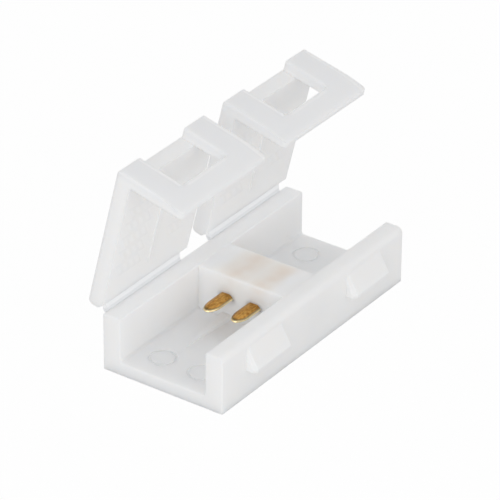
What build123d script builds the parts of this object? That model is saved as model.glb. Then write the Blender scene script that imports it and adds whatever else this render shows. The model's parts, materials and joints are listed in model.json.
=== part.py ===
from build123d import *

import math
import os

# Connector for a two-pad led strip: an open tray, a bridge block across its middle that carries
# two contacts, and two lids that fold over the channel and snap over catches on the front wall.
# Millimetres. X runs along the channel, +Y points from the front wall to the hinge wall, +Z is up.
# The origin is the centre of the tray's bottom face.

# Driving dimensions of the strip and its channel
strip_width = 8.0
strip_play = 0.5

# Driving dimensions of the tray
tray_length = 26.0
wall_thickness = 1.75
wall_height = 5.3
floor_thickness = 1.2
front_wall_outer_round = 0.55
front_wall_inner_round = 0.2
rear_wall_round = 0.12
channel_corner_round = 0.25
tray_edge_round = 0.15

# Driving dimensions of the bridge block and the contacts in it
bridge_length = 4.6
bridge_offset = 0.1
bridge_drop = 0.05
bridge_edge_round = 0.15
contact_pitch = 2.8
contact_width = 1.45
contact_thickness = 0.3
contact_top = 3.33
contact_reach = 2.9
contact_nose = 0.6
contact_nose_radius = 1.5
contact_tip_length = 1.3
contact_edge_round = 0.1

# Driving dimensions of the details on the channel's floor
wedge_inset = 5.2
wedge_tip_width = 0.15
wedge_tip_height = 0.05
wedge_root_width = 1.1
wedge_root_height = 0.45
wedge_side_angle = 75
ring_inset = 2.75
ring_spacing = 3.9
ring_radius = 1.2
ring_groove = 0.2
ring_depth = 0.1

# Driving dimensions of the film hinges, from the rear wall's top outer edge
hinge_out = 0.2
hinge_up = 0.15
film_thickness = 0.24
film_length = 10.1
film_shift = -0.25
film_clearance = 0.09
rest_opening = 76.5

# Driving dimensions of the lids
lid_gap = 2.7
lid_end_inset = 0.05
lid_clearance = 0.1
plate_thickness = 1.4
plate_back_gap = 0.15
plate_back_round = 0.45
plate_back_bevel = 0.42
plate_bevel_round = 0.1
flap_clearance = 0.6
flap_root_thickness = 1.0
flap_bar_thickness = 0.93
flap_free_thickness = 0.6
flap_depth = 5.25
flap_face_blend = 0.766
flap_outer_round = 0.2
flap_inner_round = 0.2
flap_free_round = 0.22
flap_corner_round = 0.4
flap_edge_round = 0.3
window_width = 5.85
window_depth = 2.97
window_edge_round = 0.25
bar_bevel_width = 0.43
bar_flat_depth = 0.8
rib_width = 0.6
rib_height = 0.1
rib_start = 2.4
rib_end = 10.8

# Driving dimensions of the catches
catch_length = 5.2
catch_reach = 1.05
catch_top = 4.7
catch_tip = 2.95
catch_bottom = 2.6
catch_bottom_reach = 0.97
catch_end_bevel = 0.3
catch_tip_round = 0.15

# Places worked out from the dimensions
channel_width = strip_width + strip_play
tray_width = channel_width + 2 * wall_thickness
half_length = tray_length / 2
half_width = tray_width / 2
half_channel = channel_width / 2
bridge_near = bridge_offset - bridge_length / 2
bridge_far = bridge_offset + bridge_length / 2
bridge_root = floor_thickness / 2
bridge_top = wall_height - bridge_drop
contact_middle = contact_top - contact_thickness / 2
contact_half_length = contact_reach - bridge_near
contact_tip_start = contact_half_length - contact_tip_length
contact_places = {"front_contact": -contact_pitch / 2, "rear_contact": contact_pitch / 2}
hinge_y = half_width + hinge_out
hinge_z = wall_height + hinge_up
lid_length = half_length - lid_end_inset - lid_gap / 2
lid_centre = half_length - lid_end_inset - lid_length / 2
lid_places = {"near_lid": -lid_centre, "far_lid": lid_centre}

# Lid coordinates: v runs from the hinge line along the plate, w from the plate towards the tray
plate_inner = hinge_up - lid_clearance
plate_outer = plate_inner - plate_thickness
flap_inner = hinge_y + half_width + flap_clearance
flap_outer = flap_inner + flap_root_thickness
bar_turn = math.atan2(flap_bar_thickness - flap_free_thickness, flap_depth - window_depth)
leg_turn = math.atan2(flap_root_thickness - flap_bar_thickness, window_depth - plate_outer)
flap_face_round = flap_face_blend / math.tan((bar_turn - leg_turn) / 2)
bar_bevel_end = flap_depth - bar_flat_depth
opening = math.radians(rest_opening)
plate_direction = (0, -math.cos(opening), math.sin(opening))
lid_section = Plane(origin=(0, hinge_y, hinge_z), x_dir=plate_direction, z_dir=(1, 0, 0))
lid_face = Plane(origin=(0, hinge_y, hinge_z), x_dir=(1, 0, 0), z_dir=plate_direction)
lid_plan = Plane(origin=(0, hinge_y, hinge_z), x_dir=(1, 0, 0), z_dir=lid_section.y_dir)

# Each outline is a list of corners, each with the radius that rounds it
tray_outline = [
    ((-half_width, 0), tray_edge_round),
    ((half_width, 0), tray_edge_round),
    ((half_width, wall_height), rear_wall_round),
    ((half_channel, wall_height), rear_wall_round),
    ((half_channel, floor_thickness), channel_corner_round),
    ((-half_channel, floor_thickness), channel_corner_round),
    ((-half_channel, wall_height), front_wall_inner_round),
    ((-half_width, wall_height), front_wall_outer_round),
]
bridge_outline = [
    ((bridge_near, bridge_root), 0),
    ((bridge_far, bridge_root), 0),
    ((bridge_far, bridge_top), bridge_edge_round),
    ((bridge_near, bridge_top), bridge_edge_round),
]
lid_outline = [
    ((plate_back_gap, plate_outer), plate_back_round),
    ((flap_outer, plate_outer), flap_outer_round),
    ((flap_inner + flap_bar_thickness, window_depth), flap_face_round),
    ((flap_inner + flap_free_thickness, flap_depth), flap_free_round),
    ((flap_inner, flap_depth), flap_free_round),
    ((flap_inner, plate_inner), flap_inner_round),
    ((plate_back_gap + plate_back_bevel, plate_inner), plate_bevel_round),
    ((plate_back_gap, plate_inner - plate_back_bevel), plate_bevel_round),
]


def is_catch_end_edge(edge):
    """Tells whether an edge of the catch's ends lies outside the wall and above its bottom face."""
    above_bottom = edge.center().Z > (3 * catch_bottom + catch_tip) / 4
    return above_bottom and edge.center().Y < -half_width


def is_window_edge(edge):
    """Tells whether an edge borders the lid's window on the flap's outer face."""
    place = lid_section.to_local_coords(edge.center())
    inmost = min(lid_section.to_local_coords(edge @ end).X for end in (0, 1))
    beside_window = abs(place.Z) < window_width / 2 + window_edge_round
    above_bar = place.Y < window_depth + window_edge_round
    return beside_window and above_bar and inmost > flap_inner + flap_free_thickness * 0.9


# Contact: a flat strip through the bridge with two tapering tips that bend down a little
with BuildPart() as contact:
    with BuildLine(Plane.XZ):
        flat = Line((0, contact_middle), (contact_half_length - contact_nose, contact_middle))
        nose_turn = math.degrees(math.asin(contact_nose / contact_nose_radius))
        JernArc(flat @ 1, (1, 0), contact_nose_radius, -nose_turn)
    with BuildSketch(Plane.YZ):
        with Locations((0, contact_middle)):
            RectangleRounded(contact_width, contact_thickness, contact_edge_round)
    sweep()
    mirror(about=Plane.YZ)
    with BuildSketch(Plane.XY):
        Rectangle(2 * contact_tip_start, contact_width)
        with Locations((-contact_tip_start, 0), (contact_tip_start, 0)):
            Ellipse(contact_tip_length, contact_width / 2)
    extrude(amount=wall_height, mode=Mode.INTERSECT)


# Catch: a ramp on the front wall's outer face, bevelled at both ends
with BuildPart() as catch:
    with BuildSketch(Plane.YZ.offset(-catch_length / 2)):
        with BuildLine():
            Polyline(
                (-half_width + wall_thickness / 2, catch_top),
                (-half_width, catch_top),
                (-half_width - catch_reach, catch_tip),
                (-half_width - catch_bottom_reach, catch_bottom),
                (-half_width + wall_thickness / 2, catch_bottom),
                close=True,
            )
        make_face()
    extrude(amount=catch_length)
    chamfer(catch.faces().filter_by(Axis.X).edges().filter_by(is_catch_end_edge), catch_end_bevel)
    fillet(catch.edges().filter_by(Axis.X).sort_by(Axis.Y)[0], catch_tip_round)


# Tray: a channel with the bridge block, the catches and the tray's half of the film hinges
with BuildPart() as tray:
    with BuildSketch(Plane.YZ.offset(-half_length)):
        with BuildLine():
            FilletPolyline(
                *[corner for corner, radius in tray_outline],
                radius=[radius for corner, radius in tray_outline],
                close=True,
            )
        make_face()
    extrude(amount=tray_length)
    end_edges = tray.edges().filter_by(Axis.Z)
    fillet(end_edges.filter_by(lambda edge: abs(edge.center().Y) > half_channel), tray_edge_round)

    # The bridge block reaches into both walls, up to the front wall's rounded top
    with BuildSketch(Plane.XZ):
        with BuildLine():
            FilletPolyline(
                *[corner for corner, radius in bridge_outline],
                radius=[radius for corner, radius in bridge_outline],
                close=True,
            )
        make_face()
    extrude(amount=half_channel + front_wall_inner_round, both=True)

    # Wedges that rise under the contacts and press the strip's pads against them
    for wedge_tip, wedge_root in (
        (wedge_inset - half_length, bridge_near),
        (half_length - wedge_inset, bridge_far),
    ):
        for y in contact_places.values():
            for x, width, height in (
                (wedge_tip, wedge_tip_width, wedge_tip_height),
                (wedge_root, wedge_root_width, wedge_root_height),
            ):
                with BuildSketch(Plane.YZ.offset(x)):
                    with Locations((y, floor_thickness)):
                        Trapezoid(width, height, wedge_side_angle, align=(Align.CENTER, Align.MIN))
            loft()

    # Plain rings that the mould's ejector pins leave
    with BuildSketch(Plane.XY.offset(floor_thickness)):
        with GridLocations(2 * (half_length - ring_inset), ring_spacing, 2, 2):
            Circle(ring_radius)
            Circle(ring_radius - ring_groove, mode=Mode.SUBTRACT)
    extrude(amount=-ring_depth, mode=Mode.SUBTRACT)

    with Locations([(x, 0, 0) for x in lid_places.values()]):
        add(catch.part)

    # Each lip leans from the rear wall's top up to the hinge line and ends in a round nose
    lip_root = Vector(half_width - film_thickness / 2, wall_height - film_thickness - hinge_up)
    lip = Vector(hinge_y, hinge_z) - lip_root
    lip_middle = lip_root + lip * 0.5
    for x in lid_places.values():
        with BuildSketch(Plane.YZ.offset(x + film_shift - film_length / 2)):
            with Locations((lip_middle.X, lip_middle.Y)):
                SlotCenterToCenter(lip.length, film_thickness, math.degrees(math.atan2(lip.Y, lip.X)))
        extrude(amount=film_length)

    with Locations([(0, y, 0) for y in contact_places.values()]):
        add(contact.part, mode=Mode.SUBTRACT)


# Lid: a plate, a flap with a window that snaps over the catch, and the lid's half of the film hinge
with BuildPart() as lid:
    with BuildSketch(lid_section.offset(-lid_length / 2)):
        with BuildLine():
            FilletPolyline(
                *[corner for corner, radius in lid_outline],
                radius=[radius for corner, radius in lid_outline],
                close=True,
            )
        make_face()
    extrude(amount=lid_length)

    # The flap's two free corners are rounded
    with BuildSketch(lid_face):
        with BuildLine():
            FilletPolyline(
                (-lid_length / 2, -plate_outer),
                (lid_length / 2, -plate_outer),
                (lid_length / 2, -flap_depth),
                (-lid_length / 2, -flap_depth),
                radius=[0, 0, flap_corner_round, flap_corner_round],
                close=True,
            )
        make_face()
    extrude(amount=flap_outer, mode=Mode.INTERSECT)

    # Its two outer edges are rounded from the plate's back to the free end
    with BuildSketch(lid_plan.offset(plate_outer)):
        with BuildLine():
            FilletPolyline(
                (-lid_length / 2, 0),
                (lid_length / 2, 0),
                (lid_length / 2, flap_outer),
                (-lid_length / 2, flap_outer),
                radius=[0, 0, flap_edge_round, flap_edge_round],
                close=True,
            )
        make_face()
    extrude(amount=flap_depth - plate_outer, mode=Mode.INTERSECT)

    # The window runs out through the lid's outer corner and leaves a bar with a lead-in bevel
    with BuildSketch(lid_section.offset(-window_width / 2)):
        with BuildLine():
            Polyline(
                (flap_inner, 2 * plate_outer),
                (flap_inner + flap_depth, 2 * plate_outer),
                (flap_inner + flap_depth, window_depth),
                (flap_inner + bar_bevel_width, window_depth),
                (flap_inner, bar_bevel_end),
                (flap_inner - flap_inner_round, bar_bevel_end),
                (flap_inner - flap_inner_round, plate_inner),
                (flap_inner, plate_inner),
                close=True,
            )
        make_face()
    extrude(amount=window_width, mode=Mode.SUBTRACT)
    fillet(lid.edges().filter_by(is_window_edge), window_edge_round)

    with BuildSketch(lid_section.offset(-rib_width / 2)):
        with BuildLine():
            Polyline(
                (rib_start, plate_inner - rib_height),
                (rib_start, plate_inner),
                (rib_start + rib_height, plate_inner + rib_height),
                (rib_end - rib_height, plate_inner + rib_height),
                (rib_end, plate_inner),
                (rib_end, plate_inner - rib_height),
                close=True,
            )
        make_face()
    extrude(amount=rib_width)

    lip_start = film_thickness + film_clearance
    with BuildSketch(lid_section.offset(film_shift - film_length / 2)):
        with Locations((lip_start + plate_back_bevel / 2, -film_thickness / 2)):
            SlotCenterToCenter(plate_back_bevel, film_thickness)
    extrude(amount=film_length)


os.makedirs("parts", exist_ok=True)
tray.part.label = "tray"
export_step(tray.part, "parts/tray.step")
for name, y in contact_places.items():
    with BuildPart() as placed_contact:
        with Locations((0, y, 0)):
            add(contact.part)
    placed_contact.part.label = name
    export_step(placed_contact.part, f"parts/{name}.step")
for name, x in lid_places.items():
    with BuildPart() as hung_lid:
        with Locations((x, 0, 0)):
            add(lid.part)
    hung_lid.part.label = name
    export_step(hung_lid.part, f"parts/{name}.step")
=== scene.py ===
import json
import logging
import math
from collections.abc import Callable
from dataclasses import asdict, dataclass, replace
from enum import Enum
from functools import reduce
from typing import ClassVar

import bmesh
import bpy
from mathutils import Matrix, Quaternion, Vector


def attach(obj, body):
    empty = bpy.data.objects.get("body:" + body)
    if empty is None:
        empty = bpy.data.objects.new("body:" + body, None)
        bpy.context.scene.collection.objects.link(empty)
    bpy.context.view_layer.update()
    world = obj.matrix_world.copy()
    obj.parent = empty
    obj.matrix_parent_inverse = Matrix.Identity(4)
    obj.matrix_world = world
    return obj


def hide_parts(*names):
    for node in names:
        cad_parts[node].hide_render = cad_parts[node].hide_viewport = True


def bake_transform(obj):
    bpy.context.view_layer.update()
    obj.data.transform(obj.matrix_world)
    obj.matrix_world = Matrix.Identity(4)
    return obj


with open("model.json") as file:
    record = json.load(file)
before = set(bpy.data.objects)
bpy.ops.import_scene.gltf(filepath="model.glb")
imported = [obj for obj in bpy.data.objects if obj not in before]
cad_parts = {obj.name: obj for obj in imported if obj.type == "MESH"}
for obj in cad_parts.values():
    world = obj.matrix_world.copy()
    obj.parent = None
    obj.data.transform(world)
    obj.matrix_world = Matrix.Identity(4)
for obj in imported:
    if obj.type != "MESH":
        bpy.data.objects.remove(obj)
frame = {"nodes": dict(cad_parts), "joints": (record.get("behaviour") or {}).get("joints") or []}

MM = 0.001
LOG = logging.getLogger("led_strip_connector")
Point = tuple[float, float, float]
Colour = tuple[float, float, float, float]
Socket = bpy.types.NodeSocket
Term = float | Socket
Tone = Colour | Socket
WHITE: Colour = (1.0, 1.0, 1.0, 1.0)


class Side(Enum):
    """The two lids, named by the end of the channel that each covers."""

    NEAR = "near"
    FAR = "far"

    @property
    def node(self) -> str:
        """Gives the lid's node name."""
        return f"{self.value}_lid"

    @property
    def body(self) -> str:
        """Gives the name of the body that the lid is."""
        return f"{self.value}_lid_body"

    @property
    def joint(self) -> str:
        """Gives the name of the lid's hinge."""
        return f"{self.value}_lid_hinge"


class Workbench:
    """Wraps the modelling operators, so that each works on one object alone."""

    MERGE_DISTANCE: ClassVar[float] = 0.0005 * MM
    SMOOTH_ANGLE: ClassVar[float] = math.radians(40)

    @staticmethod
    def clear_selection() -> None:
        """Leaves edit mode and deselects everything."""
        if bpy.context.mode != "OBJECT":
            bpy.ops.object.mode_set(mode="OBJECT")
        bpy.ops.object.select_all(action="DESELECT")

    @staticmethod
    def take(piece: bpy.types.Object) -> None:
        """Makes one object the only selected and the active one.

        Args:
            piece: The object to work on.
        """
        Workbench.clear_selection()
        piece.select_set(True)
        bpy.context.view_layer.objects.active = piece

    @staticmethod
    def edit_all(piece: bpy.types.Object) -> None:
        """Enters edit mode with every face selected.

        Args:
            piece: The object to edit.
        """
        Workbench.take(piece)
        bpy.ops.object.mode_set(mode="EDIT")
        bpy.ops.mesh.select_mode(type="FACE")
        bpy.ops.mesh.select_all(action="SELECT")

    @staticmethod
    def edit_points(piece: bpy.types.Object, test: Callable[[bmesh.types.BMVert], bool]) -> None:
        """Enters edit mode with only the points selected that pass a test.

        Args:
            piece: The object whose points are chosen.
            test: Says for a point whether it is chosen.
        """
        Workbench.take(piece)
        bpy.ops.object.mode_set(mode="EDIT")
        bpy.ops.mesh.select_mode(type="VERT")
        bpy.ops.mesh.select_all(action="DESELECT")
        mesh = bmesh.from_edit_mesh(piece.data)
        for point in mesh.verts:
            point.select_set(bool(test(point)))
        mesh.select_flush(True)
        bmesh.update_edit_mesh(piece.data)

    @staticmethod
    def apply(piece: bpy.types.Object, kind: str, **settings: float | int | str | bool) -> None:
        """Adds a modifier with its settings and applies it.

        Args:
            piece: The object that the modifier shapes.
            kind: The modifier's type.
            **settings: The modifier's settings by name.
        """
        Workbench.take(piece)
        modifier = piece.modifiers.new(kind.title(), kind)
        for setting, value in settings.items():
            setattr(modifier, setting, value)
        bpy.ops.object.modifier_apply(modifier=modifier.name)

    @staticmethod
    def finish(piece: bpy.types.Object) -> None:
        """Turns the faces outwards, smooths them and puts the place in the mesh.

        Args:
            piece: The finished object.
        """
        Workbench.edit_all(piece)
        bpy.ops.mesh.remove_doubles(threshold=Workbench.MERGE_DISTANCE)
        bpy.ops.mesh.normals_make_consistent(inside=False)
        bpy.ops.object.mode_set(mode="OBJECT")
        bpy.ops.object.transform_apply(location=True, rotation=True, scale=True)
        bpy.ops.object.shade_smooth_by_angle(angle=Workbench.SMOOTH_ANGLE)


class Shader:
    """Builds the node tree of a material, a world or a group."""

    def __init__(self, tree: bpy.types.NodeTree) -> None:
        """Keeps the tree that the nodes go into."""
        self.tree = tree

    def node(self, kind: str, **values: object) -> bpy.types.Node:
        """Adds a node and sets its properties and its unlinked inputs.

        Args:
            kind: The node's type.
            **values: Property or input values by name.

        Returns:
            The new node.
        """
        node = self.tree.nodes.new(kind)
        for name, value in values.items():
            if hasattr(node, name):
                setattr(node, name, value)
            else:
                node.inputs[name].default_value = value
        return node

    def link(self, source: Socket, target: Socket) -> None:
        """Joins an output to an input."""
        self.tree.links.new(source, target)

    def feed(self, target: Socket, value: Term | Tone) -> None:
        """Gives an input a plain value or another node's output.

        Args:
            target: The input.
            value: A number, a colour or an output.
        """
        if isinstance(value, Socket):
            self.link(value, target)
        else:
            target.default_value = value

    def coordinates(self) -> Socket:
        """Gives the piece's own coordinates, in metres."""
        return self.node("ShaderNodeTexCoord").outputs["Object"]

    def split(self, vector: Socket) -> tuple[Socket, Socket, Socket]:
        """Splits a vector.

        Args:
            vector: The vector's output.

        Returns:
            The outputs of its X, Y and Z.
        """
        node = self.node("ShaderNodeSeparateXYZ")
        self.link(vector, node.inputs[0])
        return tuple(node.outputs)

    def math(self, operation: str, *terms: Term) -> Socket:
        """Adds a math node whose terms are numbers or other nodes' outputs.

        Args:
            operation: The node's operation.
            *terms: One to three terms.

        Returns:
            The result's output.
        """
        node = self.node("ShaderNodeMath", operation=operation)
        for socket, term in zip(node.inputs, terms):
            self.feed(socket, term)
        return node.outputs[0]

    def product(self, *masks: Socket) -> Socket:
        """Multiplies masks, so that the result is full where all of them are."""
        return reduce(lambda first, second: self.math("MULTIPLY", first, second), masks)

    def highest(self, *masks: Socket) -> Socket:
        """Gives the highest of some masks, so that the result is full where any of them is."""
        return reduce(lambda first, second: self.math("MAXIMUM", first, second), masks)

    def ramp(self, value: Socket, none: Term, full: Term) -> Socket:
        """Turns a value into a smooth mask from 0 to 1.

        Args:
            value: The value's output.
            none: Where the mask is 0.
            full: Where the mask is 1.

        Returns:
            The mask's output.
        """
        node = self.node("ShaderNodeMapRange", interpolation_type="SMOOTHSTEP")
        self.link(value, node.inputs["Value"])
        self.feed(node.inputs["From Min"], none)
        self.feed(node.inputs["From Max"], full)
        return node.outputs["Result"]

    def band(self, value: Socket, middle: Term, none: Term, full: Term) -> Socket:
        """Turns the distance from a middle into a smooth mask from 0 to 1."""
        away = self.math("ABSOLUTE", self.math("SUBTRACT", value, middle))
        return self.ramp(away, none, full)

    def noise(self, vector: Socket, scale: Term, detail: float) -> Socket:
        """Adds noise that changes softly over the surface.

        Args:
            vector: The coordinates that it reads.
            scale: How many of its grains fit in a metre.
            detail: How much finer noise it carries.

        Returns:
            The noise's output, around 0.5.
        """
        node = self.node("ShaderNodeTexNoise", Detail=detail)
        self.link(vector, node.inputs["Vector"])
        self.feed(node.inputs["Scale"], scale)
        return node.outputs["Fac"]

    def bump(self, height: Socket, strength: float, depth: float, normal: Socket | None = None) -> Socket:
        """Adds a fine relief.

        Args:
            height: The height's output, from 0 to 1.
            strength: The share of the relief that shows.
            depth: The relief's depth, in metres.
            normal: The normal that the relief starts from, or None for the surface's own.

        Returns:
            The normal's output.
        """
        node = self.node("ShaderNodeBump", Strength=strength, Distance=depth)
        self.link(height, node.inputs["Height"])
        if normal is not None:
            self.link(normal, node.inputs["Normal"])
        return node.outputs["Normal"]

    def mix(self, share: Socket, first: Tone, second: Tone) -> Socket:
        """Mixes two colours, each plain or another node's output, by a mask.

        Args:
            share: The mask's output.
            first: The colour where the mask is 0.
            second: The colour where the mask is 1.

        Returns:
            The mixed colour's output.
        """
        node = self.node("ShaderNodeMix", data_type="RGBA")
        self.link(share, node.inputs["Factor"])
        targets = [socket for socket in node.inputs if socket.type == "RGBA"]
        for target, colour in zip(targets, (first, second)):
            self.feed(target, colour)
        return next(socket for socket in node.outputs if socket.type == "RGBA")


@dataclass(frozen=True)
class SurfaceGroup:
    """A shader group that is built once and added to each material with its own values.

    Each kind of group is a subclass, whose fields are the group's inputs beside the coordinates.
    """

    NAME: ClassVar[str]
    RESULTS: ClassVar[tuple[str, ...]]

    def values(self) -> dict[str, float]:
        """Gives the fields' values by the names of the group's inputs."""
        return {name.replace("_", " ").title(): value for name, value in asdict(self).items()}

    def results(self, shader: Shader, vector: Socket, given: bpy.types.bpy_prop_collection) -> list[Socket]:
        """Adds the group's own nodes and gives the outputs for its results, in their order."""
        raise NotImplementedError

    def tree(self) -> bpy.types.NodeTree:
        """Makes the group's tree once and gives it back each time.

        Returns:
            The node group.
        """
        if self.NAME in bpy.data.node_groups:
            return bpy.data.node_groups[self.NAME]
        tree = bpy.data.node_groups.new(self.NAME, "ShaderNodeTree")
        tree.interface.new_socket("Vector", in_out="INPUT", socket_type="NodeSocketVector")
        for name, value in self.values().items():
            socket = tree.interface.new_socket(name, in_out="INPUT", socket_type="NodeSocketFloat")
            socket.default_value = value
        for name in self.RESULTS:
            tree.interface.new_socket(name, in_out="OUTPUT", socket_type="NodeSocketFloat")
        shader = Shader(tree)
        given = shader.node("NodeGroupInput").outputs
        targets = shader.node("NodeGroupOutput").inputs
        for name, result in zip(self.RESULTS, self.results(shader, given["Vector"], given)):
            shader.link(result, targets[name])
        return tree

    def add(self, shader: Shader, vector: Socket) -> bpy.types.bpy_prop_collection:
        """Adds the group to a material.

        Args:
            shader: The material's tree.
            vector: The coordinates that the group reads.

        Returns:
            The group's outputs by name.
        """
        node = shader.node("ShaderNodeGroup", node_tree=self.tree(), **self.values())
        shader.link(vector, node.inputs["Vector"])
        return node.outputs


@dataclass(frozen=True)
class MouldSurface(SurfaceGroup):
    """The skin of a moulded piece, with fine grain and soft clouding, in metres."""

    NAME: ClassVar[str] = "mould_surface"
    RESULTS: ClassVar[tuple[str, ...]] = ("Cloud", "Roughness", "Height")
    GRAIN_DETAIL: ClassVar[float] = 3.0
    CLOUD_DETAIL: ClassVar[float] = 2.0
    NOISE_MIDDLE: ClassVar[float] = 0.5

    grain_size: float = 0.12 * MM
    cloud_size: float = 3.0 * MM
    roughness: float = 0.3
    variation: float = 0.08

    def results(self, shader: Shader, vector: Socket, given: bpy.types.bpy_prop_collection) -> list[Socket]:
        """Adds the clouding, the roughness that follows it and the grain.

        Args:
            shader: The group's tree.
            vector: The coordinates' output.
            given: The inputs' outputs by name.

        Returns:
            The cloud's, the roughness's and the grain's output.
        """
        grain, cloud = (
            shader.noise(vector, shader.math("DIVIDE", 1.0, given[size]), detail)
            for size, detail in (("Grain Size", self.GRAIN_DETAIL), ("Cloud Size", self.CLOUD_DETAIL))
        )
        centred = shader.math("SUBTRACT", cloud, self.NOISE_MIDDLE)
        rough = shader.math("MULTIPLY_ADD", centred, given["Variation"], given["Roughness"])
        return [cloud, rough, grain]


@dataclass(frozen=True)
class GripRibs(SurfaceGroup):
    """A block of short leaning ribs in rows, which stand up from a lid's inner face.

    Its coordinates are the lid's own, in millimetres: x from the lid's middle, v along the plate
    and w towards the tray.
    """

    NAME: ClassVar[str] = "grip_ribs"
    RESULTS: ClassVar[tuple[str, ...]] = ("Height", "Field")

    start: float = -4.4
    end: float = -2.0
    first_row: float = 3.6
    last_row: float = 9.6
    row_pitch: float = 1.5
    rib_pitch: float = 0.8
    rib_width: float = 0.42
    rib_length: float = 0.9
    lean: float = -0.6
    softness: float = 0.2
    lowest: float = -0.1

    def results(self, shader: Shader, vector: Socket, given: bpy.types.bpy_prop_collection) -> list[Socket]:
        """Adds the ribs' height and the field that covers the whole block.

        Args:
            shader: The group's tree.
            vector: The coordinates' output.
            given: The inputs' outputs by name.

        Returns:
            The height's and the field's output, from 0 to 1.
        """
        x, v, w = shader.split(vector)
        soft = given["Softness"]
        row = self.from_nearest(shader, v, given["First Row"], given["Row Pitch"])
        leaning = shader.math("SUBTRACT", x, shader.math("MULTIPLY", row, given["Lean"]))
        column = self.from_nearest(shader, leaning, given["Start"], given["Rib Pitch"])
        rib = [
            shader.band(away, 0.0, shader.math("ADD", half, soft), shader.math("SUBTRACT", half, soft))
            for away, half in (
                (row, shader.math("MULTIPLY", given["Rib Length"], 0.5)),
                (column, shader.math("MULTIPLY", given["Rib Width"], 0.5)),
            )
        ]
        field = shader.product(
            self.between(shader, v, (given["First Row"], given["Last Row"]), given["Row Pitch"], soft),
            self.between(shader, leaning, (given["Start"], given["End"]), given["Rib Pitch"], soft),
            shader.math("GREATER_THAN", w, given["Lowest"]),
        )
        return [shader.product(field, *rib), field]

    @staticmethod
    def from_nearest(shader: Shader, value: Socket, first: Socket, pitch: Socket) -> Socket:
        """Gives the distance from the nearest of the places that repeat at a pitch.

        Args:
            shader: The group's tree.
            value: The value's output.
            first: The first place.
            pitch: The step from place to place.

        Returns:
            The distance's output, below 0 before the place.
        """
        half = shader.math("MULTIPLY", pitch, 0.5)
        back = shader.math("MULTIPLY", half, -1.0)
        return shader.math("WRAP", shader.math("SUBTRACT", value, first), half, back)

    @staticmethod
    def between(
        shader: Shader, value: Socket, ends: tuple[Socket, Socket], pitch: Socket, soft: Socket
    ) -> Socket:
        """Adds a mask of the places from half a pitch before the first to half a pitch after the last.

        Args:
            shader: The group's tree.
            value: The value's output.
            ends: The first and the last place.
            pitch: The step from place to place.
            soft: The width over which the mask fades.

        Returns:
            The mask's output.
        """
        half = shader.math("MULTIPLY", pitch, 0.5)
        start = shader.math("SUBTRACT", ends[0], half)
        end = shader.math("ADD", ends[1], half)
        after = shader.ramp(value, start, shader.math("ADD", start, soft))
        return shader.product(after, shader.ramp(value, end, shader.math("SUBTRACT", end, soft)))


@dataclass(frozen=True)
class FlapBands(SurfaceGroup):
    """The painted shade of a lid's flap, which is greyer than the plate but for bright bands of painted
    highlight.

    The bands of painted highlight run along the edges that face the far end and along the bar's edge in the
    window, where light catches their rounds.
    Its coordinates are the lid's own, in millimetres.
    """

    NAME: ClassVar[str] = "flap_bands"
    RESULTS: ClassVar[tuple[str, ...]] = ("Grey",)

    start: float = 12.75
    full: float = 13.55
    window_side: float = -2.925
    window_end: float = 2.97
    lid_end: float = 5.8
    band_width: float = 0.6
    softness: float = 0.13
    bar_share: float = 0.6
    bar_full: float = 2.2

    def results(self, shader: Shader, vector: Socket, given: bpy.types.bpy_prop_collection) -> list[Socket]:
        """Adds the mask of the flap's painted shade, which leaves out the bands of painted highlight.

        Args:
            shader: The group's tree.
            vector: The coordinates' output.
            given: The inputs' outputs by name.

        Returns:
            The mask's output.
        """
        x, v, w = shader.split(vector)
        soft, end = given["Softness"], given["Window End"]
        half = shader.math("MULTIPLY", given["Band Width"], 0.5)
        inner = shader.math("SUBTRACT", half, soft)
        outer = shader.math("ADD", half, soft)
        side, lid_end, bar = (
            shader.band(value, middle, outer, inner)
            for value, middle in (
                (x, shader.math("SUBTRACT", given["Window Side"], inner)),
                (x, shader.math("SUBTRACT", given["Lid End"], inner)),
                (w, shader.math("ADD", end, inner)),
            )
        )
        side = shader.product(side, shader.ramp(w, shader.math("ADD", end, soft), end))
        far_side = shader.math("MULTIPLY", given["Window Side"], -1.0)
        across = shader.band(x, 0.0, far_side, given["Bar Full"])
        bar = shader.product(bar, across, given["Bar Share"])
        plain = shader.math("SUBTRACT", 1.0, shader.highest(side, lid_end, bar))
        return [shader.product(shader.ramp(v, given["Start"], given["Full"]), plain)]


@dataclass
class LidSection:
    """Turns a lid's own coordinates into places in the frame, with the lid at rest.

    x runs from the lid's middle along the channel, v from the hinge line along the plate, and w
    from the hinge line towards the tray.
    """

    side: Side
    opening: float = math.radians(76.5)

    @property
    def axes(self) -> tuple[Vector, Vector, Vector]:
        """Gives the directions of the lid's x, v and w.

        Returns:
            The three directions, of length 1.
        """
        turn = self.opening
        return (
            Vector((1, 0, 0)),
            Vector((0, -math.cos(turn), math.sin(turn))),
            Vector((0, -math.sin(turn), -math.cos(turn))),
        )

    @property
    def hinge(self) -> Vector:
        """Gives a point on the hinge line, at the lid's middle."""
        joint = next(joint for joint in frame["joints"] if joint["name"] == self.side.joint)
        return Vector(joint["pos_m"])

    def at(self, x: float, v: float, w: float) -> Vector:
        """Gives the place in the frame of a point of the lid."""
        return self.hinge + sum((step * axis for step, axis in zip((x, v, w), self.axes)), Vector())

    def coordinates(self, shader: Shader) -> Socket:
        """Adds the lid's own coordinates in millimetres.

        Args:
            shader: The material's tree.

        Returns:
            The coordinates' output.
        """
        place = shader.coordinates()
        joined = shader.node("ShaderNodeCombineXYZ")
        for axis, target in zip(self.axes, joined.inputs):
            along = shader.node("ShaderNodeVectorMath", operation="DOT_PRODUCT")
            shader.link(place, along.inputs[0])
            along.inputs[1].default_value = axis / MM
            own = shader.math("SUBTRACT", along.outputs["Value"], axis.dot(self.hinge) / MM)
            shader.link(own, target)
        return joined.outputs[0]


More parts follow.
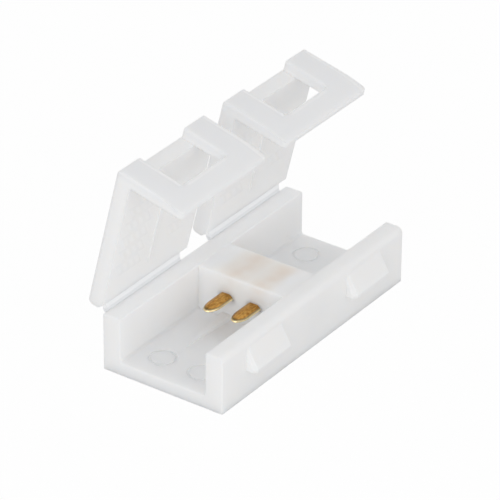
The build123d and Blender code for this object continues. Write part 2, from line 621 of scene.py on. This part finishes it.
@dataclass(frozen=True)
class BridgeGlow:
    """The painted see-through shade of the two brass strips in the bridge block: a warm, darker tint painted
    on the plastic, in millimetres.
    """

    bridge: tuple[float, float] = (-2.2, 2.4)
    bridge_softness: float = 0.5
    core_half_width: float = 3.6
    core_softness: float = 1.6
    core_tone: Colour = (0.90, 0.868, 0.828, 1.0)
    strip_places: tuple[float, float] = (-2.0, 0.85)
    strip_half_width: float = 0.75
    strip_softness: float = 1.9
    strip_floor: float = 4.6
    floor_softness: float = 0.4
    strip_tone: Colour = (0.84, 0.755, 0.68, 1.0)
    haze_size: float = 1.8
    haze_detail: float = 1.5
    haze_range: tuple[float, float] = (0.1, 0.7)

    def tint(self, shader: Shader, tone: Tone) -> Socket:
        """Paints the strips' see-through shade into the plastic: a warm tint in the block's core, and more
        above the two strips.

        Args:
            shader: The tray's tree.
            tone: The plastic's own tone.

        Returns:
            The tinted tone's output.
        """
        place = shader.coordinates()
        x, y, z = (shader.math("DIVIDE", part, MM) for part in shader.split(place))
        (near, far), soft = self.bridge, self.bridge_softness
        along = shader.product(
            shader.ramp(x, near - soft, near + soft), shader.ramp(x, far + soft, far - soft)
        )
        side = self.core_half_width
        core = shader.product(along, shader.band(y, 0.0, side, side - self.core_softness))
        half, spread = self.strip_half_width, self.strip_softness / 2
        strips = [shader.band(y, middle, half + spread, half - spread) for middle in self.strip_places]
        floor, rise = self.strip_floor, self.floor_softness
        above = shader.ramp(z, floor - rise, floor + rise)
        haze = shader.noise(place, 1.0 / (self.haze_size * MM), self.haze_detail)
        strip = shader.product(shader.highest(*strips), along, above, shader.ramp(haze, *self.haze_range))
        # The core and the strips get a painted shade, for the brass that shows through the milky plastic.
        return shader.mix(strip, shader.mix(core, tone, self.core_tone), self.strip_tone)


@dataclass(frozen=True)
class FoldShade:
    """The painted shade in the crease where a film hinge goes down behind the rear wall's top, in
    millimetres.
    """

    fold_tone: Colour = (0.86, 0.87, 0.885, 1.0)
    full_height: float = 5.42
    none_height: float = 5.62

    def tint(self, shader: Shader, tone: Tone) -> Socket:
        """Paints shade into the film in its fold.

        Args:
            shader: The film's tree.
            tone: The plastic's own tone.

        Returns:
            The tinted tone's output.
        """
        height = shader.split(shader.coordinates())[2]
        fold = shader.ramp(height, self.none_height * MM, self.full_height * MM)
        return shader.mix(fold, tone, self.fold_tone)


def new_material(name: str) -> tuple[bpy.types.Material, Shader]:
    """Makes a material with nodes.

    Args:
        name: The material's name.

    Returns:
        The material and what builds its tree.
    """
    material = bpy.data.materials.new(name)
    material.use_nodes = True
    return material, Shader(material.node_tree)


@dataclass(frozen=True)
class MilkyPlastic:
    """Natural polypropylene: milky and satin, with light that spreads deep under its skin."""

    name: str = "milky_plastic"
    light_tone: Colour = (0.986, 0.991, 0.998, 1.0)
    dark_tone: Colour = (0.966, 0.973, 0.985, 1.0)
    roughness: float = 0.6
    index: float = 1.49
    scatter_share: float = 1.0
    scatter_depth: float = 1.2 * MM
    scatter_spread: Point = (1.0, 0.95, 0.9)
    grain_size: float = 0.10 * MM
    grain_depth: float = 0.004 * MM
    grain_strength: float = 0.5
    edge_radius: float = 0.08 * MM
    edge_samples: int = 4
    rib_height: float = 0.03 * MM
    rib_strength: float = 1.0
    rib_blocks: tuple[GripRibs, ...] = (
        GripRibs(),
        GripRibs(start=2.1, end=3.5, first_row=4.4, last_row=4.4, rib_length=1.2),
    )
    # Painted shade between the grip ribs.
    field_tone: Colour = (0.93, 0.937, 0.95, 1.0)
    # Painted shade for the flap, whose edges keep bands of painted highlight.
    flap_tone: Colour = (0.86, 0.867, 0.88, 1.0)

    def build(
        self, lid: LidSection | None = None, see_through_shade: BridgeGlow | None = None, fold: FoldShade | None = None
    ) -> bpy.types.Material:
        """Makes the material.

        Args:
            lid: The lid whose inner face has grip ribs, or None for a plain surface.
            see_through_shade: The painted see-through shade of the strips in the bridge block, or None for a
                piece without it.
            fold: The shade of a film hinge's fold, or None for a piece without it.

        Returns:
            The material.
        """
        material, shader = new_material(self.name if lid is None else f"{self.name}_{lid.side.node}")
        surface = MouldSurface(grain_size=self.grain_size, roughness=self.roughness)
        skin_masks = surface.add(shader, shader.coordinates())
        tone = shader.mix(skin_masks["Cloud"], self.dark_tone, self.light_tone)
        edge = shader.node("ShaderNodeBevel", samples=self.edge_samples, Radius=self.edge_radius)
        normal = shader.bump(
            skin_masks["Height"], self.grain_strength, self.grain_depth, edge.outputs["Normal"]
        )
        if lid is not None:
            tone, normal = self.lid_faces(shader, lid.coordinates(shader), tone, normal)
        for shade in (see_through_shade, fold):
            if shade is not None:
                tone = shade.tint(shader, tone)
        skin = material.node_tree.nodes["Principled BSDF"]
        shader.link(tone, skin.inputs["Base Color"])
        shader.link(skin_masks["Roughness"], skin.inputs["Roughness"])
        shader.link(normal, skin.inputs["Normal"])
        skin.inputs["Subsurface Weight"].default_value = self.scatter_share
        skin.inputs["Subsurface Radius"].default_value = self.scatter_spread
        skin.inputs["Subsurface Scale"].default_value = self.scatter_depth
        skin.inputs["IOR"].default_value = self.index
        return material

    def lid_faces(
        self, shader: Shader, own: Socket, tone: Tone, normal: Socket
    ) -> tuple[Socket, Socket]:
        """Adds a lid's grip ribs, the painted shade between them in the ribbed fields, and the painted shade
        and highlights of its flap.

        Args:
            shader: The material's tree.
            own: The lid's own coordinates.
            tone: The plastic's own tone.
            normal: The plastic's own normal.

        Returns:
            The lid's tone and its normal.
        """
        blocks = [block.add(shader, own) for block in self.rib_blocks]
        height, field = (
            shader.highest(*(block[name] for block in blocks)) for name in ("Height", "Field")
        )
        # The ribbed fields are greyed between the ribs as painted shade, so that the ribs read as lit.
        tone = shader.mix(shader.math("SUBTRACT", field, height), tone, self.field_tone)
        # The flap is greyed as painted shade, leaving bright bands on its edges as painted highlights.
        tone = shader.mix(FlapBands().add(shader, own)["Grey"], tone, self.flap_tone)
        return tone, shader.bump(height, self.rib_strength, self.rib_height, normal)


@dataclass(frozen=True)
class ContactBrass:
    """Gold-toned stamped brass: amber faces with a painted dark reflection towards their rim, and a painted
    bright highlight on the cut edges.

    The cut edges that get the painted highlight are found by the upward share of the surface's normal.
    """

    name: str = "contact_brass"
    roughness: float = 0.24
    face_tone: Colour = (0.64, 0.36, 0.095, 1.0)
    streak_tone: Colour = (0.36, 0.165, 0.035, 1.0)
    streak_width: float = 0.13 * MM
    streak_depth: float = 0.006 * MM
    streak_strength: float = 0.6
    streak_stretch: Point = (0.35, 1.0, 1.0)
    streak_detail: float = 3.0
    streak_range: tuple[float, float] = (0.3, 0.7)
    rim_tone: Colour = (0.11, 0.07, 0.025, 1.0)
    rim_start: float = 0.74
    rim_end: float = 0.93
    cut_tone: Colour = (1.0, 0.84, 0.50, 1.0)
    cut_range: tuple[float, float] = (0.75, 0.45)

    def build(self, contact: "Contact") -> bpy.types.Material:
        """Makes the material.

        Args:
            contact: A contact, whose sizes place the painted dark reflection at the rim.

        Returns:
            The material.
        """
        material, shader = new_material(self.name)
        place = shader.node("ShaderNodeTexCoord").outputs
        stretch = shader.node("ShaderNodeMapping", Scale=self.streak_stretch)
        shader.link(place["Object"], stretch.inputs["Vector"])
        streaks = shader.noise(stretch.outputs["Vector"], 1.0 / self.streak_width, self.streak_detail)
        face = shader.mix(shader.ramp(streaks, *self.streak_range), self.streak_tone, self.face_tone)
        # Painted dark reflection towards the rim, then a painted highlight on the cut edges.
        with_rim_reflection = shader.mix(self.rim(shader, place["Object"], contact), face, self.rim_tone)
        upward = shader.math("ABSOLUTE", shader.split(place["Normal"])[2])
        tone = shader.mix(shader.ramp(upward, *self.cut_range), with_rim_reflection, self.cut_tone)
        normal = shader.bump(streaks, self.streak_strength, self.streak_depth)
        skin = material.node_tree.nodes["Principled BSDF"]
        shader.link(tone, skin.inputs["Base Color"])
        shader.link(normal, skin.inputs["Normal"])
        skin.inputs["Metallic"].default_value = 1.0
        skin.inputs["Roughness"].default_value = self.roughness
        return material

    def rim(self, shader: Shader, place: Socket, contact: "Contact") -> Socket:
        """Adds the mask of the painted dark reflection, which rises towards a contact's outline.

        Args:
            shader: The material's tree.
            place: The object coordinates' output.
            contact: The contact whose outline counts.

        Returns:
            The mask's output.
        """
        x, y, _ = shader.split(place)
        past = shader.math("SUBTRACT", shader.math("ABSOLUTE", x), contact.tip_start)
        along = shader.math("DIVIDE", shader.math("MAXIMUM", past, 0.0), contact.tip_length)
        aside = shader.math("SUBTRACT", shader.math("ABSOLUTE", y), abs(contact.y))
        across = shader.math("DIVIDE", aside, contact.width / 2)
        squares = shader.math("ADD", shader.product(along, along), shader.product(across, across))
        return shader.ramp(shader.math("SQRT", squares), self.rim_start, self.rim_end)


def dress(node: str, material: bpy.types.Material) -> None:
    """Gives a node of the CAD model its finish, in the slots it has.

    Args:
        node: The node's name.
        material: The finish.
    """
    for slot in frame["nodes"][node].material_slots:
        slot.material = material
    LOG.info("%s: %s", node, material.name)


@dataclass
class Lid:
    """A lid's finish and the film that runs between it and the tray's wall, with a bend at the hinge."""

    side: Side
    finish: MilkyPlastic
    film_plastic: bpy.types.Material
    film_length: float = 10.16 * MM
    film_shift: float = -0.25 * MM
    film_thickness: float = 0.3 * MM
    film_root_back: float = 0.17 * MM
    film_root_down: float = 0.3 * MM
    film_steps: int = 8
    film_end: float = 0.5 * MM
    film_reach: float = 0.3 * MM

    @property
    def section(self) -> LidSection:
        """Gives the lid's own coordinates."""
        return LidSection(self.side)

    def build(self) -> None:
        """Builds the lid's film and dresses the lid."""
        dress(self.side.node, self.finish.build(self.section))
        film = self.film()
        film.data.materials.append(self.film_plastic)
        LOG.info("%s: %d faces", film.name, len(film.data.polygons))

    def film(self) -> bpy.types.Object:
        """Builds the thin film that runs, with a bend at the hinge, from the tray's wall to the lid.

        Returns:
            The film.
        """
        hinge = self.section.hinge
        root = hinge + Vector((self.film_shift, -self.film_root_back, -self.film_root_down))
        middle = hinge + Vector((self.film_shift, 0, 0))
        end = self.section.at(self.film_shift, self.film_end, -self.film_thickness / 2)
        Workbench.clear_selection()
        bpy.ops.mesh.primitive_plane_add(size=1.0, location=root)
        film = bpy.context.active_object
        film.name = film.data.name = f"{self.side.value}_hinge_film"
        film.scale = (self.film_length, self.film_thickness, 1.0)
        bpy.ops.object.transform_apply(location=True, rotation=True, scale=True)
        for start, stop in ((root, middle), (middle, end)):
            step = (stop - start) / self.film_steps
            for _ in range(self.film_steps):
                Workbench.take(film)
                bpy.ops.object.mode_set(mode="EDIT")
                bpy.ops.mesh.extrude_region_move(TRANSFORM_OT_translate={"value": step})
                bpy.ops.object.mode_set(mode="OBJECT")
        Workbench.finish(film)
        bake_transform(film)
        return film


@dataclass
class Contact:
    """A stamped contact: a thin crowned strip with two leaf-shaped tips.

    The crown is a list of steps inwards and upwards, in millimetres.
    """

    node: str
    y: float
    half_length: float = 5.1 * MM
    far_cut: float = 0.8 * MM
    width: float = 1.45 * MM
    tip_length: float = 1.3 * MM
    rim_height: float = 3.24 * MM
    thickness: float = 0.18 * MM
    outline_points: int = 64
    middle_margin: float = 0.001 * MM
    crown: tuple[tuple[float, float], ...] = (
        (0.05, 0.09), (0.07, 0.09), (0.08, 0.07), (0.08, 0.06), (0.09, 0.05),
    )
    edge_round: float = 0.03 * MM
    edge_steps: int = 2
    edge_angle: float = math.radians(50)

    @property
    def tip_start(self) -> float:
        """Gives the distance from the middle at which the tips begin."""
        return self.half_length - self.tip_length

    def build(self, brass: bpy.types.Material) -> bpy.types.Object:
        """Builds the strip in place of the plain solid and dresses it.

        Args:
            brass: Its finish.

        Returns:
            The strip.
        """
        strip = self.outline()
        Workbench.edit_all(strip)
        for inset, height in self.crown:
            bpy.ops.mesh.inset(thickness=inset * MM, depth=height * MM)
        bpy.ops.object.mode_set(mode="OBJECT")
        Workbench.apply(strip, "SOLIDIFY", thickness=self.thickness, offset=-1.0)
        Workbench.apply(
            strip, "BEVEL", width=self.edge_round, segments=self.edge_steps, angle_limit=self.edge_angle
        )
        Workbench.finish(strip)
        strip.data.materials.append(brass)
        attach(strip, "tray_body")
        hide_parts(self.node)
        LOG.info("%s: %d faces", strip.name, len(strip.data.polygons))
        return strip

    def outline(self) -> bpy.types.Object:
        """Builds the strip's flat outline from an ellipse whose two halves are drawn apart.

        Returns:
            The outline, as one face.
        """
        Workbench.clear_selection()
        bpy.ops.mesh.primitive_circle_add(
            vertices=self.outline_points, radius=1.0, fill_type="NGON", location=(0, self.y, self.rim_height)
        )
        strip = bpy.context.active_object
        strip.name = strip.data.name = f"{self.node}_strip"
        strip.scale = (self.tip_length, self.width / 2, 1.0)
        bpy.ops.object.transform_apply(location=True, rotation=True, scale=True)
        for end, reach in ((-1, self.tip_start), (1, self.tip_start - self.far_cut)):
            Workbench.edit_points(strip, lambda point: point.co.x * end > self.middle_margin)
            bpy.ops.transform.translate(value=(end * reach, 0, 0))
        return strip


@dataclass
class Tray:
    """The tray, which keeps its solid and gets its finish."""

    plastic: bpy.types.Material

    def build(self) -> None:
        """Dresses the tray."""
        dress("tray", self.plastic)


def outward(azimuth: float, elevation: float) -> Vector:
    """Gives the direction at a turn from the front wall towards +X and a rise, in radians."""
    level = math.cos(elevation)
    return Vector((math.sin(azimuth) * level, -math.cos(azimuth) * level, math.sin(elevation)))


def stand(
    name: str, data: bpy.types.Light | bpy.types.Camera, place: Vector, turn: Quaternion
) -> bpy.types.Object:
    """Adds a lamp or a camera to the scene.

    Args:
        name: The object's name.
        data: The lamp or the camera.
        place: Where it stands.
        turn: How it is turned from looking down.

    Returns:
        The object.
    """
    holder = bpy.data.objects.new(name, data)
    holder.location = place
    holder.rotation_mode = "QUATERNION"
    holder.rotation_quaternion = turn
    bpy.context.scene.collection.objects.link(holder)
    return holder


@dataclass(frozen=True)
class Lamp:
    """A square soft lamp that points at the connector, in degrees, metres and watts."""

    name: str
    azimuth: float
    elevation: float
    distance: float
    size: float
    power: float

    def build(self) -> None:
        """Adds the lamp."""
        data = bpy.data.lights.new(self.name, "AREA")
        data.size = self.size
        data.energy = self.power
        back = outward(math.radians(self.azimuth), math.radians(self.elevation))
        stand(self.name, data, back * self.distance, (-back).to_track_quat("-Z", "Y"))
        LOG.info("%s: %.4f W", self.name, self.power)


@dataclass(frozen=True)
class Studio:
    """A white floor, an even white surround and soft lamps."""

    floor_size: float = 3.0
    floor_drop: float = 0.02 * MM
    floor_tone: Colour = (0.93, 0.93, 0.93, 1.0)
    floor_white_share: float = 0.97
    surround_strength: float = 0.70
    lamps: tuple[Lamp, ...] = (
        Lamp("end_lamp", azimuth=-78.0, elevation=14.0, distance=0.12, size=0.093, power=0.0245),
        Lamp("front_lamp", azimuth=-8.0, elevation=12.0, distance=0.45, size=0.35, power=0.29),
    )

    def build(self) -> None:
        """Builds the floor, the surround and the lamps."""
        self.floor()
        self.surround()
        for lamp in self.lamps:
            lamp.build()

    def floor(self) -> None:
        """Builds the floor, which shows white to the camera and keeps a faint shadow."""
        Workbench.clear_selection()
        bpy.ops.mesh.primitive_plane_add(size=self.floor_size, location=(0, 0, -self.floor_drop))
        floor = bpy.context.active_object
        floor.name = "floor"
        material, shader = new_material("floor_white")
        shader.tree.nodes.clear()
        matt = shader.node("ShaderNodeBsdfDiffuse", Color=self.floor_tone)
        white = shader.node("ShaderNodeEmission", Strength=1.0)
        mixed = shader.node("ShaderNodeMixShader")
        output = shader.node("ShaderNodeOutputMaterial")
        share = shader.math("MULTIPLY", self.shown(shader), self.floor_white_share)
        for source, target in zip((share, matt.outputs[0], white.outputs[0]), mixed.inputs):
            shader.link(source, target)
        shader.link(mixed.outputs[0], output.inputs["Surface"])
        floor.data.materials.append(material)

    @staticmethod
    def shown(shader: Shader) -> Socket:
        """Adds a mask that is 1 for rays from the camera, from a reflection or through plastic.

        Args:
            shader: The tree that the mask is built in.

        Returns:
            The mask's output.
        """
        path = shader.node("ShaderNodeLightPath").outputs
        rays = ("Is Camera Ray", "Is Glossy Ray", "Is Transmission Ray")
        return shader.highest(*(path[ray] for ray in rays))

    def surround(self) -> None:
        """Builds the world: white to the camera, plain and even as light."""
        world = bpy.data.worlds.new("surround")
        bpy.context.scene.world = world
        world.use_nodes = True
        shader = Shader(world.node_tree)
        background = world.node_tree.nodes["Background"]
        background.inputs["Color"].default_value = WHITE
        strength = shader.node("ShaderNodeMapRange")
        strength.inputs["To Min"].default_value = self.surround_strength
        strength.inputs["To Max"].default_value = 1.0
        shader.link(self.shown(shader), strength.inputs["Value"])
        shader.link(strength.outputs["Result"], background.inputs["Strength"])


@dataclass(frozen=True)
class PhotoCamera:
    """The photograph's camera: its aim, distance and turn were fitted to the tray's corners."""

    aim: Point = (0.0, 0.573 * MM, 6.993 * MM)
    distance: float = 343.50 * MM
    azimuth: float = math.radians(-54.802)
    elevation: float = math.radians(30.516)
    roll: float = math.radians(0.4416)
    lens_mm: float = 299.79
    sensor_mm: float = 36.0
    clip_start: float = 10 * MM
    clip_end: float = 10.0

    def build(self) -> None:
        """Adds the camera and makes it the scene's."""
        data = bpy.data.cameras.new("photo_camera")
        data.sensor_width = self.sensor_mm
        data.lens = self.lens_mm
        data.clip_start = self.clip_start
        data.clip_end = self.clip_end
        back = outward(self.azimuth, self.elevation)
        turn = (-back).to_track_quat("-Z", "Y") @ Quaternion((0, 0, 1), self.roll)
        place = Vector(self.aim) + back * self.distance
        bpy.context.scene.camera = stand("photo_camera", data, place, turn)


def main() -> None:
    """Builds the camera, the studio and the connector's looks, piece by piece."""
    logging.basicConfig(level=logging.INFO, format="%(name)s: %(message)s")
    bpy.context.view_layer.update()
    bpy.context.scene.view_settings.view_transform = "Standard"
    PhotoCamera().build()
    Studio().build()
    finish = MilkyPlastic()
    plastic = finish.build(see_through_shade=BridgeGlow())
    film_plastic = replace(finish, name="film_plastic", scatter_share=0.0).build(fold=FoldShade())
    Tray(plastic).build()
    contacts = [Contact("front_contact", -1.4 * MM), Contact("rear_contact", 1.4 * MM)]
    brass = ContactBrass().build(contacts[0])
    for contact in contacts:
        contact.build(brass)
    for side in Side:
        Lid(side, finish, film_plastic).build()


if __name__ == "__main__":
    main()
